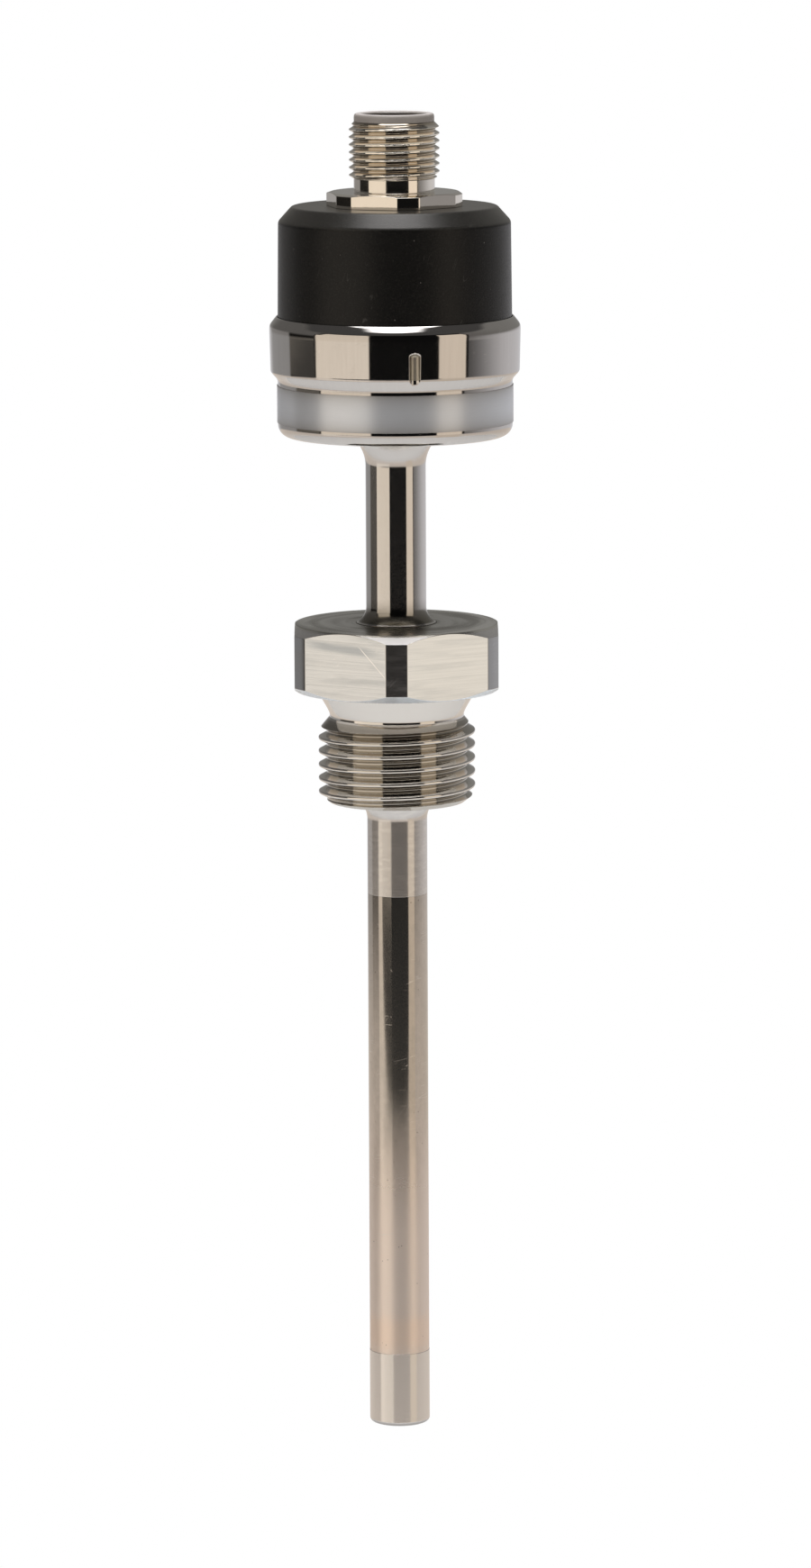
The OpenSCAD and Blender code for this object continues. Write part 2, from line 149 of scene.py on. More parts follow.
class Signal:
    """A socket that carries a value. Python's operators on it add Math nodes."""

    __add__ = operator("ADD")
    __radd__ = operator("ADD", swapped=True)
    __sub__ = operator("SUBTRACT")
    __rsub__ = operator("SUBTRACT", swapped=True)
    __mul__ = operator("MULTIPLY")
    __truediv__ = operator("DIVIDE")
    __pow__ = operator("POWER")

    def __init__(self, graph, socket):
        self.graph = graph
        self.socket = socket

    def __abs__(self):
        return self.graph.math("ABSOLUTE", self)

    def rise(self, low, high):
        """0 below low, 1 above high, with a smooth step between them."""
        limits = {"Value": self, "From Min": low, "From Max": high}
        return self.graph.node("ShaderNodeMapRange", {"interpolation_type": "SMOOTHSTEP"}, limits)

    def band(self, low, high, edge):
        """1 between low and high and 0 outside, with soft edges of the given width."""
        return self.rise(low - edge, low + edge) * (1 - self.rise(high - edge, high + edge))


def socket_named(sockets, key):
    """A socket by its place, or by its name among those that the node's settings have enabled."""
    if isinstance(key, int):
        return sockets[key]
    return next(s for s in sockets if s.enabled and s.name == key)


class Graph:
    """The nodes of one material or world."""

    def __init__(self, tree):
        self.tree = tree
        tree.nodes.clear()

    def node(self, kind, settings=None, inputs=None, output=0):
        """Adds a node, first with its settings and then its inputs, and returns one output."""
        made = self.tree.nodes.new(kind)
        for name, value in (settings or {}).items():
            setattr(made, name, value)
        for key, value in (inputs or {}).items():
            self.feed(socket_named(made.inputs, key), value)
        if isinstance(output, int):
            enabled = [s for s in made.outputs if s.enabled]
            return Signal(self, enabled[output]) if enabled else made
        return Signal(self, socket_named(made.outputs, output))

    def feed(self, socket, value):
        """Links a Signal to the socket, or writes a plain value on it."""
        if isinstance(value, Signal):
            self.tree.links.new(value.socket, socket)
        elif isinstance(value, tuple) and len(value) == 3 and socket.type == "RGBA":
            socket.default_value = (*value, 1)
        else:
            socket.default_value = value

    def math(self, operation, *values):
        """The result of a Math node."""
        return self.node("ShaderNodeMath", {"operation": operation}, dict(enumerate(values)))

    def split(self, vector):
        """The three parts of a vector."""
        made = self.node("ShaderNodeSeparateXYZ", None, {0: vector}).socket.node
        return [Signal(self, socket) for socket in made.outputs]

    def scale(self, vector, share):
        """A vector made longer or shorter, or a colour made brighter or darker."""
        inputs = {"Vector": vector, "Scale": share}
        return self.node("ShaderNodeVectorMath", {"operation": "SCALE"}, inputs)

    def blend(self, share, first, second):
        """The first colour where share is 0 and the second where it is 1."""
        inputs = {"Factor": share, "A": first, "B": second}
        return self.node("ShaderNodeMix", {"data_type": "RGBA"}, inputs)

    def layer(self, colour, *coats):
        """Lays coats over a colour, one after the other, each given as (share, colour)."""
        for share, coat in coats:
            colour = self.blend(share, colour, coat)
        return colour

    def join(self, x, y, z):
        """A vector from its three parts."""
        return self.node("ShaderNodeCombineXYZ", None, {"X": x, "Y": y, "Z": z})

    def noise(self, where, scale, detail=2.0, rough=0.5, fourth=None):
        """Smooth noise from 0 to 1, in four dimensions where a fourth coordinate is given."""
        inputs = {"Vector": where, "Scale": scale, "Detail": detail, "Roughness": rough}
        sides = "3D"
        if fourth is not None:
            sides = "4D"
            inputs["W"] = fourth
        return self.node("ShaderNodeTexNoise", {"noise_dimensions": sides}, inputs)

    def cells(self, where, scale):
        """Distance to the nearest of many scattered points, in cell widths."""
        inputs = {"Vector": where, "Scale": scale}
        return self.node("ShaderNodeTexVoronoi", {"feature": "F1"}, inputs, "Distance")


class Finish(Graph):
    """A material with one Principled shader, on object coordinates in millimetres."""

    def __init__(self, name):
        self.material = bpy.data.materials.new(name)
        self.material.use_nodes = True
        super().__init__(self.material.node_tree)
        self.surface = self.node("ShaderNodeBsdfPrincipled")
        self.outlet = self.node("ShaderNodeOutputMaterial", None, {"Surface": self.surface})
        metres = self.node("ShaderNodeTexCoord", output="Object")
        self.where = self.scale(metres, 1 / MM)
        self.x, self.y, self.z = self.split(self.where)

    def polar(self):
        """The radius from the probe's axis, and the direction as the unit vector's two parts."""
        radius = self.math("SQRT", self.x * self.x + self.y * self.y)
        safe = self.math("MAXIMUM", radius, 0.001)
        return radius, self.x / safe, self.y / safe

    def lathe_lines(self, pitch, along=1.2, detail=2.0):
        """Lines round the axis: noise that is quick in height and radius and slow round it."""
        radius, across, deep = self.polar()
        place = self.join(across * along, deep * along, self.z / pitch)
        return self.noise(place, 1.0, detail, 0.6, radius / pitch)

    def scratches(self, lean, spacing, width, share):
        """Fine scratches in patches: the mid line of noise that is stretched along a lean."""
        swing = self.x * math.cos(lean) + self.z * math.sin(lean)
        climb = self.z * math.cos(lean) - self.x * math.sin(lean)
        place = self.join(swing * 0.1, climb / spacing, self.y * 0.1)
        line = 1 - abs(self.noise(place, 1.0, 0.0) - 0.5).rise(0, width)
        return line * self.noise(self.where, 0.45, 2.0).rise(1 - share, 1.04 - share)

    def set(self, **sockets):
        """Sets or links the shader's sockets; an underscore stands for a space in a name."""
        for name, value in sockets.items():
            self.feed(self.surface.socket.node.inputs[name.replace("_", " ")], value)
        return self.material

    def relief(self, height, depth):
        """Feeds the shader's normal with a height, of which 1 is this depth in millimetres."""
        inputs = {"Strength": 1.0, "Distance": depth * MM, "Height": height}
        self.set(Normal=self.node("ShaderNodeBump", None, inputs))


# ------------------------------------------------ studio


def build_studio():
    """A white room for the eye. What metal mirrors is painted by direction: two warm softboxes
    beside the camera with a dark gap between them, grey walls that lighten towards the back, a
    pale table with a dark tongue on it, and a light overhead. The bearing is 0 at the camera and
    positive to its right, the height is 0 at the horizon, and both are in degrees."""
    world = bpy.data.worlds.new("studio")
    bpy.context.scene.world = world
    world.use_nodes = True
    g = Graph(world.node_tree)
    x, y, z = g.split(g.node("ShaderNodeTexCoord", output="Generated"))
    bearing = g.math("ARCTAN2", x, y * -1) * math.degrees(1)
    height = g.math("ARCSINE", z) * math.degrees(1)
    right = bearing.rise(-1, 1)
    left_span = (-78, -24)
    right_span = (41.0, 68.5)

    # Walls. The crimped ring mirrors the stretch below level, the neck the one above it, and the
    # plug with its flange the one above high.
    level = height.rise(-7.6, -6.9)
    high = height.rise(-5.8, -5.0)
    wall = g.blend(height.rise(-5.8, 3), (0.66, 0.65, 0.67), (0.24, 0.235, 0.225))
    far_left = g.blend(high, (0.36, 0.355, 0.355), (0.28, 0.27, 0.265))
    near_left = g.blend(level, (0.06, 0.056, 0.052), (0.16, 0.147, 0.13))
    near_left = g.blend(high, near_left, (0.012, 0.011, 0.01))
    left_wall = g.blend(bearing.rise(-116, -112), far_left, near_left)
    left_wall = g.blend(height.rise(-2, 10), left_wall, (0.14, 0.135, 0.13))
    near_right = g.blend(level, (0.06, 0.057, 0.055), (0.22, 0.205, 0.195))
    near_right = g.blend(high, near_right, (0.16, 0.15, 0.145))
    right_wall = g.blend(bearing.rise(59, 134), near_right, wall)
    room = g.layer(
        left_wall,
        (right, right_wall),
        (abs(bearing).rise(150, 170), wall),
        (bearing.band(-80, 71.5, 0.8), (0.006, 0.006, 0.006)),
    )

    # Softboxes: a wide one on the left, with a second row over it, and a tall one on the right
    left_light = g.blend(height.rise(-15, -4), (1.24, 1.13, 1.01), (0.92, 0.81, 0.68))
    box_light = g.blend(right, left_light, (0.92, 0.80, 0.67))
    left_box = bearing.band(*left_span, 0.8) * height.band(-12, 14, 0.7)
    left_top = bearing.band(-74, -26, 2.0) * height.band(15, 36, 2.5)
    right_box = bearing.band(*right_span, 0.8) * height.band(-90, 30, 3.0)

    # Table, lit by the softboxes. The tongue starts 9.2 degrees down with 53.5 degrees to each
    # side, drifts to the right as it comes nearer, and ends in a round tip 2.95 degrees lower.
    table = g.blend(height.rise(-40, -16), (0.88, 0.87, 0.85), (0.72, 0.645, 0.58))
    lit = bearing.band(*right_span, 3.0) + bearing.band(*left_span, 3.0) * height.rise(-22, -15)
    depth = g.math("MAXIMUM", height * -1 - 9.2, 0.0)
    swell = g.math("SQRT", g.math("MAXIMUM", 1 - (depth / 2.95) ** 3, 0.0))
    middle = depth ** 3 * 0.8 - 10.0
    aside = abs(bearing - middle) / g.math("MAXIMUM", swell * 53.5, 0.5)
    tongue = (1 - aside.rise(0.94, 1.04)) * swell.rise(0.0, 0.1)
    below = g.layer(table, (lit, g.scale(box_light, 0.8)), (tongue, (0.04, 0.04, 0.039)))
    front_edge = (1 - height.rise(-9.6, -9.45)) * bearing.band(-80, 45, 2.0)
    left_edge = (1 - height.rise(-11.4, -9.3)) * (1 - right)
    right_edge = (1 - height.rise(-11.2, -8.4)) * right
    under = g.math("MAXIMUM", front_edge, left_edge + right_edge)

    ceiling = g.blend(height.rise(66, 73), (0.075, 0.073, 0.072), (4.6, 4.55, 4.6))
    seen = g.node("ShaderNodeLightPath", output="Is Camera Ray")
    colour = g.layer(
        room,
        (left_box + left_top + right_box, box_light),
        (under, below),
        (height.rise(38, 44), ceiling),
        (seen, WHITE),
    )
    background = g.node("ShaderNodeBackground", None, {"Color": colour})
    g.node("ShaderNodeOutputWorld", None, {"Surface": background})


def hang_lamp(name, bearing, height, watts, side):
    """A soft fill lamp 1.3 m from the probe that metal doesn't mirror."""
    data = bpy.data.lights.new(name, "AREA")
    data.energy = watts
    data.size = side
    lamp = bpy.data.objects.new(name, data)
    turn = Matrix.Rotation(math.radians(bearing), 4, "Z")
    tip = Matrix.Rotation(math.radians(90 - height), 4, "X")
    lamp.matrix_world = turn @ tip @ Matrix.Translation((0, 0, 1.3))
    lamp.visible_glossy = False
    bpy.context.scene.collection.objects.link(lamp)


build_studio()
hang_lamp("fill_left", -38, 32, 5.0, 0.7)
hang_lamp("fill_right", 42, 28, 4.0, 0.7)
hang_lamp("fill_back", 180, 45, 3.0, 0.9)
hang_lamp("fill_top", 180, 82, 18.0, 0.7)


# ------------------------------------------------ finishes

STEEL = (0.62, 0.59, 0.56)
STEEL_COOL = (0.66, 0.645, 0.625)
NICKEL = (0.88, 0.835, 0.765)


def turned_steel():
    """The fitting, the neck and the tip. Lathe lines run in the colour, the roughness and the
    relief, and the anisotropy spreads the shine along the probe's axis. The hexagon's end face
    has broad arcs, and painted shade darkens it towards the neck and on the neck's foot. Its
    flats are brushed level and smeared, the ones on the right painted lighter and bluer as light,
    and the left one has a wiped patch and a long scratch. Its turned corners are painted dark as
    the dark they mirror. The thread is the smoothest stretch, with painted shade in its grooves
    and on its lead-in chamfer, and the tip's lower end is painted darker as shade."""
    f = Finish("turned_steel")
    radius = f.polar()[0]
    outside = f.math("MAXIMUM", radius - HEX_FACE, 0.0)
    housing_foot = node_box("housing")[0][2]
    tip_foot = node_box("tip_plug")[0][2]

    # The hexagon: its end face and flats, both chamfers, the turned corners, and a ring of painted
    # shade round the neck
    end_face = (f.z + outside * HEX_SLOPE).rise(HEX_TOP - 0.04, HEX_TOP - 0.01)
    end_face = end_face * (1 - f.z.rise(HEX_TOP + 0.02, HEX_TOP + 0.1))
    flats = f.z.band(-0.05, HEX_TOP + 0.05, 0.05) * (1 - end_face)
    flats = flats * radius.rise(HEX_FACE - 0.1, HEX_FACE)
    under = flats * (1 - (f.z - outside * HEX_SLOPE).rise(0.01, 0.04))
    chamfer = end_face * radius.rise(HEX_FACE + 0.1, HEX_FACE + 0.5)
    # Painted reflection: the turned corners get a dark colour for the dark they mirror
    land = flats * radius.rise(HEX_LAND - 0.05, HEX_LAND - 0.01) * f.z.rise(0.9, 1.05)
    # Painted shade: the end face darkens towards the neck
    painted_neck_shade = end_face * (1 - radius.rise(8.0, 13.2))

    # Above it the neck with its foot and its flare, and below it the thread with its grooves and
    # its first chamfer, the stem and the tip. The grooves, the first chamfer and the tip's lower
    # end get painted shade.
    neck = f.z.rise(HEX_TOP + 0.1, HEX_TOP + 0.3)
    # Painted shade on the neck's foot
    foot = neck * (1 - f.z.rise(HEX_TOP + 0.2, HEX_TOP + 3.8)) * (1 - radius.rise(6.0, 6.6))
    flare = f.z.rise(housing_foot - 4, housing_foot - 1)
    thread = f.z.band(STUD_FOOT - 0.1, 0.0, 0.05)
    # Painted shade in the thread's grooves
    hollow = f.z.band(STUD_FOOT - 0.1, -4.2, 0.3) * (1 - radius.rise(9.5, 10.4))
    # Painted shade on the thread's lead-in chamfer
    lead_in = f.z.band(-5.45, -3.75, 0.12) * radius.rise(WAIST_R + 0.1, WAIST_R + 0.3)
    stem = 1 - f.z.rise(STUD_FOOT - 0.4, STUD_FOOT - 0.2)
    tip = 1 - f.z.rise(-80, -79)
    # Painted shade: the tip's lower end is darker
    end = 1 - f.z.rise(tip_foot + 0.3, tip_foot + 0.6)

    fine = f.lathe_lines(0.06)
    coarse = f.lathe_lines(0.5, 2.5, 3.0)
    arcs = f.lathe_lines(2.2, 0.7, 2.0).rise(0.35, 0.62) * f.z.rise(HEX_TOP - 0.1, HEX_TOP - 0.05)
    cloud = f.noise(f.where, 0.35, 3.0)
    brush = f.noise(f.join(f.x * 0.06, f.y * 0.06, f.z * 8.0), 1.0, 4.0, 0.6)
    smear = f.noise(f.join(f.x * 0.1, f.y * 0.1, f.z * 0.7), 1.0, 4.0).rise(0.48, 0.72)
    waver = f.noise(f.join(f.x * 0.5, f.y * 0.5, f.z * 7), 1.0, 3.0, 0.7)

    # On the left flat, along is the level distance from its middle
    left_flat = flats * (1 - (f.x * 0.5 + f.y * 0.866 + HEX_ACROSS / 2).rise(0.02, 0.08))
    along = f.x * 0.866 - f.y * 0.5
    gash = 1 - abs(f.z - 7.3 + (along - 2.2) * 0.98).rise(0.03, 0.12)
    gash = gash * along.band(2.3, 5.9, 0.6) * left_flat
    wipe = 1 - abs(f.z - 6.75 + along * 0.07 + (smear - 0.5) * 0.5).rise(0.2, 0.9)
    wipe = wipe * along.band(-5.6, 4.2, 2.5) * left_flat
    marks = f.scratches(0.9, 0.45, 0.012, 0.42) * 0.4 * flats + gash

    flat_tone = f.layer(
        f.blend(brush.rise(0.35, 0.7), (0.77, 0.80, 0.825), (0.675, 0.70, 0.72)),
        (smear * 0.7, (0.55, 0.58, 0.605)),
        (wipe * 0.75, (0.42, 0.46, 0.50)),
        # Painted light: the flats on the right are lighter and bluer than those on the left
        (f.x.rise(-0.5, 0.5) * 0.5, (0.90, 0.96, 1.0)),
    )
    colour = f.layer(
        f.blend(coarse * 0.5 + cloud * 0.4, STEEL_COOL, STEEL),
        (flats, flat_tone),
        # The turned corners are painted dark as a reflection; the tip gets a lighter tone
        (land * 0.8 + tip * 0.4, f.blend(land, (0.92, 0.88, 0.84), (0.3, 0.295, 0.29))),
        (chamfer * 0.8, (0.88, 0.87, 0.86)),
        (stem * (1 - tip) * coarse.rise(0.4, 0.7) * 0.4, (0.82, 0.79, 0.75)),
        (thread * 0.6, (0.80, 0.765, 0.71)),
        # Painted shade in the thread's grooves and on its lead-in chamfer
        (hollow * 0.5, (0.30, 0.275, 0.22)),
        (lead_in * 0.7, (0.33, 0.30, 0.255)),
        (end_face * (1 - chamfer) * 0.85, f.blend(arcs, (0.86, 0.84, 0.78), (0.27, 0.255, 0.215))),
        # Painted shade round the neck and on the neck's foot
        (painted_neck_shade * 0.6 + foot * 0.9, (0.15, 0.135, 0.10)),
        # Painted shade on the tip's lower end
        (end * 0.7, (0.26, 0.25, 0.24)),
        (marks, WHITE),
    )
    rough = 0.055 + fine * 0.03 * (1 - thread) + end_face * (0.1 + arcs * 0.12) + chamfer * 0.22
    rough = rough + flats * (brush * 0.12 + smear * 0.06) + under * 0.3 + marks * 0.1
    rough = rough + thread * 0.015 + stem * 0.1 + neck * 0.02 + flare * 0.18
    rough = rough + neck * 0.18 * (1 - f.z.rise(HEX_TOP + 0.6, HEX_TOP + 1.8))
    lathe = (fine + coarse) * 0.5 * (1 - thread) + waver * 3.0 * (stem + neck)
    f.relief(lathe * (1 - flats) + flats * brush * 0.55 + marks * 0.6, 0.0008)
    return f.set(Base_Color=colour, Metallic=1.0, Roughness=rough, Anisotropic=0.55,
                 Anisotropic_Rotation=0.25)


def drawn_steel():
    """A drawn tube: faint lines along it, a mottled skin, short handling scratches, dark specks,
    a duller lower half, and the straw colour that the weld's heat leaves above the tip."""
    f = Finish("drawn_steel")
    across, deep = f.polar()[1:]
    weld = node_box("tip_plug")[1][2]
    draw_lines = f.noise(f.join(across * 14, deep * 14, f.z * 0.06), 1.0, 3.0)
    mottle = f.noise(f.join(across * 2.5, deep * 2.5, f.z * 0.45), 1.6, 4.0, 0.65)
    grit = f.noise(f.where, 9.0, 2.0)
    marks = f.scratches(0.1, 0.7, 0.02, 0.42) + f.scratches(0.9, 1.1, 0.012, 0.38) * 0.6
    specks = 1 - f.cells(f.where, 0.9).rise(0.05, 0.09)
    specks = specks * f.noise(f.where, 0.22, 1.0).rise(0.52, 0.6)
    heat = 1 - (f.z + mottle * 2.5).rise(weld + 1.0, weld + 9.5)
    glow = (f.z + mottle * 1.2).band(weld + 1.4, weld + 5.4, 1.2)
    hazy = 1 - f.z.rise(-76, -52)
    colour = f.layer(
        f.blend(mottle.rise(0.3, 0.75), (0.56, 0.515, 0.465), (0.50, 0.465, 0.42)),
        (draw_lines.rise(0.35, 0.8) * 0.3, (0.62, 0.575, 0.52)),
        (hazy * 0.85, (0.89, 0.785, 0.71)),
        (heat * 0.32, (0.93, 0.78, 0.67)),
        (glow * 0.35, (0.96, 0.74, 0.57)),
        (marks * 0.5, (0.80, 0.76, 0.71)),
        (specks * 0.75, (0.16, 0.13, 0.11)),
    )
    rough = 0.04 + mottle * 0.03 + grit * 0.01 + marks * 0.1 + hazy * 0.31 + heat * 0.02
    f.relief(mottle * 0.6 + draw_lines * 0.25 + grit * 0.03 + marks * 0.2, 0.0011)
    return f.set(Base_Color=colour, Metallic=1.0, Roughness=rough)


def polished_steel():
    """Sheet that was pressed, crimped and polished: a slow ripple, faint upright pressing marks,
    a light skin of fine lines, and stakes in the ring that are rougher and painted brownish dark
    as the shade in their dents."""
    f = Finish("polished_steel")
    radius, across, deep = f.polar()
    ripple = f.noise(f.where, 0.16, 2.0)
    press = f.noise(f.join(across * 46, deep * 46, f.z * 0.16), 1.0, 2.0)
    fine = f.lathe_lines(0.05)
    marks = f.scratches(0.35, 0.6, 0.01, 0.4)
    ring = node_box("housing")[0][2] + BAND_HEIGHT + COVE_HEIGHT
    # The stakes' dents: rougher, and painted dark brown as the shade in them
    dent = f.z.band(ring + 0.2, ring + STAKE_TOP, 0.1) * (1 - radius.rise(RING_R - 0.16, RING_R - 0.06))
    colour = f.layer(
        f.blend(press, (0.62, 0.595, 0.57), (0.575, 0.55, 0.525)),
        (marks * 0.5, (0.8, 0.77, 0.73)),
        # Painted shade in the stakes' dents
        (dent * 0.75, (0.40, 0.36, 0.28)),
    )
    rough = 0.02 + press * 0.05 + fine * 0.02 + marks * 0.1 + dent * 0.3
    f.relief(ripple * 0.6 + press * 0.12 + fine * 0.03 + marks * 0.05, 0.006)
    return f.set(Base_Color=colour, Metallic=1.0, Roughness=rough)


def nickel_plate():
    """Bright nickel over turned brass: warmer on the thread, painted brown in its grooves as
    shade, with small pits, and a little duller on the collar."""
    f = Finish("nickel_plate")
    radius = f.polar()[0]
    lines = f.lathe_lines(0.12, 1.6)
    cloud = f.noise(f.where, 0.8, 3.0)
    pits = 1 - f.cells(f.where, 2.4).rise(0.04, 0.11)
    rear = node_box("connector_shell")[0][2]
    first_turn = node_box("head_cap")[1][2] + FLANGE_HEIGHT + COLLAR_HEIGHT + 0.25
    thread = f.z.rise(first_turn, first_turn + 0.3)
    # Painted shade: the thread's grooves are brown and dark
    hollow = thread * (1 - radius.rise(5.45, 5.95))
    collar = f.z.band(rear + 2, first_turn, 0.2) * (1 - radius.rise(6.2, 6.5))
    colour = f.layer(
        f.blend(cloud * 0.6, NICKEL, (0.82, 0.77, 0.70)),
        (thread * 0.7, (0.97, 0.93, 0.85)),
        # Painted shade in the grooves
        (hollow * 0.6, (0.36, 0.28, 0.18)),
        (pits * 0.3, (0.40, 0.34, 0.27)),
    )
    rough = 0.025 + cloud * 0.03 + lines * 0.02 + pits * 0.12 + hollow * 0.02 + collar * 0.04
    f.relief(lines * 0.2 + cloud * 0.7 - pits * 0.4, 0.002)
    return f.set(Base_Color=colour, Metallic=1.0, Roughness=rough)


def moulded_plastic(name, colour, shade, rough, grain, depth, dust=0.0, pit=0.0, index=1.5):
    """Moulded plastic: eroded grain and slow changes of gloss. Given dust, it has specks and lint
    on it, and on the cap's chamfer a clear coat and a lighter grey that is painted sheen. Given a
    pit's radius, the plug insert's top face is painted lighter as light falling on it, and inside
    that pit painted dark as shade."""
    f = Finish(name)
    skin = f.noise(f.where, grain, 3.0, 0.6)
    flow = f.noise(f.where, 0.16, 3.0)
    paint = f.blend(flow * 0.7 + skin * 0.3, colour, shade)
    gloss = rough + skin * 0.1 + flow * 0.08 - 0.09
    if dust:
        specks = 1 - f.cells(f.where, 0.55).rise(0.03, 0.055)
        lint = f.scratches(1.3, 0.9, 0.008, 0.4)
        shoulder = node_box("head_cap")[1][2] - CAP_CHAMFER
        # The cap's chamfer: a clear coat, and a lighter grey that is painted sheen
        chamfer_sheen = f.z.rise(shoulder - 0.2, shoulder + 0.1)
        paint = f.layer(
            paint,
            (skin.rise(0.5, 0.7) * 0.6, (0.013, 0.0125, 0.0105)),
            (specks * dust + lint * dust * 0.2, (0.45, 0.43, 0.4)),
            # Painted sheen on the chamfer
            (chamfer_sheen * skin, (0.02, 0.0195, 0.0185)),
        )
        gloss = gloss + specks * 0.2
        f.set(Coat_Weight=chamfer_sheen * 0.6, Coat_Roughness=0.32, Coat_Tint=(1.0, 0.96, 0.88))
    if pit:
        rim = node_box("contact_carrier")[1][2]
        # Painted light and shade: the insert's top face is lighter, and inside the socket it is dark
        paint = f.layer(
            paint,
            # Painted light on the top face
            (f.z.rise(rim - 0.12, rim - 0.02), (0.36, 0.335, 0.325)),
            # Painted shade inside the socket
            (1 - f.polar()[0].rise(pit - 0.1, pit + 0.1), (0.05, 0.042, 0.036)),
        )
    f.relief(skin + flow * 0.4, depth)
    return f.set(Base_Color=paint, Roughness=gloss, IOR=index)


def label_foil():
    """Bare satin foil: lines along the wrap, a soft sheen, and a painted shadow along its top and
    bottom edges.
    """
    f = Finish("label_foil")
    across, deep = f.polar()[1:]
    brush = f.noise(f.join(across * 5, deep * 5, f.z * 16), 1.0, 2.0)
    cloud = f.noise(f.where, 0.3, 2.0)
    low, high = node_box("label")
    # Painted shadow: the foil darkens towards its top and bottom edges
    rim = (1 - abs(f.z - (low[2] + high[2]) / 2).rise(0.0, (high[2] - low[2]) / 2)) ** 0.25
    foil = f.blend(brush * 0.5 + cloud * 0.4, (0.70, 0.73, 0.775), (0.60, 0.63, 0.67))
    # Painted shadow at the edges
    colour = f.blend(rim, (0.36, 0.35, 0.34), foil)
    f.relief(brush, 0.0012)
    return f.set(Base_Color=colour, Metallic=0.8, Roughness=0.31 + brush * 0.06, Anisotropic=0.5,
                 Anisotropic_Rotation=0.25)


def gold_plate():
    """Gold over a turned pin, with faint lines and a duller skin in places."""
    f = Finish("gold_plate")
    lines = f.noise(f.join(f.x, f.y, f.z * 8), 1.0, 2.0)
    cloud = f.noise(f.where, 1.5, 2.0)
    colour = f.blend(cloud, (0.95, 0.68, 0.30), (0.82, 0.55, 0.22))
    f.relief(lines, 0.001)
    return f.set(Base_Color=colour, Metallic=1.0, Roughness=0.16 + lines * 0.1)


def board_laminate():
    """Green solder resist over glass cloth, with copper tracks showing through as paler lines."""
    f = Finish("board_laminate")
    weave = f.noise(f.join(f.x * 2.4, f.y * 2.4, f.z), 1.0, 1.0)
    between = abs(f.noise(f.where, 0.32, 0.0) - 0.5).rise(0.012, 0.03)
    face = f.blend(weave, (0.015, 0.12, 0.05), (0.02, 0.15, 0.065))
    f.relief(weave * 0.4 - between * 0.6, 0.02)
    return f.set(Base_Color=f.blend(between, (0.06, 0.26, 0.11), face), Roughness=0.34 + weave * 0.1,
                 Coat_Weight=0.3)


def fired_ceramic(name, colour, shade, rough):
    """Pressed and fired powder, or a cured filling: fine grains and a few darker spots."""
    f = Finish(name)
    grain = f.noise(f.where, 7.0, 4.0, 0.7)
    spots = 1 - f.cells(f.where, 2.2).rise(0.05, 0.14)
    paint = f.blend(grain * 0.8 + spots * 0.3, colour, shade)
    f.relief(grain - spots * 0.3, 0.012)
    return f.set(Base_Color=paint, Roughness=rough + grain * 0.1)


def glass_braid():
    """A braided glass sleeve: two sets of strands that cross, woven from sine waves."""
    f = Finish("glass_braid")
    round_angle = f.math("ARCTAN2", f.y, f.x)
    left = f.math("SINE", round_angle * 12 + f.z * 7)
    right = f.math("SINE", round_angle * 12 - f.z * 7)
    weave = (left * right).rise(-0.7, 0.7)
    fibre = f.noise(f.where, 14.0, 2.0)
    strands = weave * 0.8 + fibre * 0.2
    f.relief(strands, 0.06)
    return f.set(Base_Color=f.blend(strands, (0.60, 0.57, 0.48), (0.84, 0.82, 0.75)),
                 Roughness=0.6 + fibre * 0.15)


def plain_metal(name, colour, shade, rough):
    """A drawn wire's metal: lines along it and a slightly uneven colour."""
    f = Finish(name)
    lines = f.noise(f.join(f.x * 30, f.y * 30, f.z * 0.5), 1.0, 2.0)
    f.relief(lines, 0.001)
    return f.set(Base_Color=f.blend(lines, colour, shade), Metallic=1.0, Roughness=rough + lines * 0.1)


# Colour, shade, roughness, scale of the grain and depth of the relief
PLASTICS = {
    "black_polyamide": ((0.001, 0.001, 0.001), (0.004, 0.0039, 0.0036), 0.33, 5.0, 0.028),
    "grey_polyamide": ((0.25, 0.23, 0.215), (0.20, 0.185, 0.172), 0.42, 4.0, 0.008),
    "seal_rubber": ((0.01, 0.01, 0.01), (0.02, 0.02, 0.02), 0.6, 3.0, 0.01),
    "natural_plastic": ((0.72, 0.69, 0.60), (0.62, 0.59, 0.50), 0.45, 2.5, 0.008),
    "silicone": ((0.32, 0.07, 0.04), (0.22, 0.045, 0.03), 0.5, 3.0, 0.01),
    "lead_red": ((0.50, 0.02, 0.015), (0.36, 0.012, 0.01), 0.35, 3.0, 0.004),
    "lead_white": ((0.80, 0.79, 0.75), (0.68, 0.66, 0.6), 0.35, 3.0, 0.004),
    "polyimide": ((0.55, 0.22, 0.03), (0.42, 0.15, 0.02), 0.3, 2.0, 0.006),
}
PLASTIC_EXTRAS = {
    "black_polyamide": {"dust": 0.28, "index": 1.34},
    "grey_polyamide": {"pit": 4.15},
}

# Colour, shade and roughness
CERAMICS = {
    "chip_body": ((0.015, 0.015, 0.016), (0.03, 0.03, 0.032), 0.5),
    "component_body": ((0.42, 0.30, 0.17), (0.32, 0.22, 0.12), 0.45),
    "ceramic": ((0.82, 0.81, 0.78), (0.68, 0.66, 0.62), 0.55),
    "compound": ((0.62, 0.62, 0.60), (0.46, 0.46, 0.44), 0.6),
}

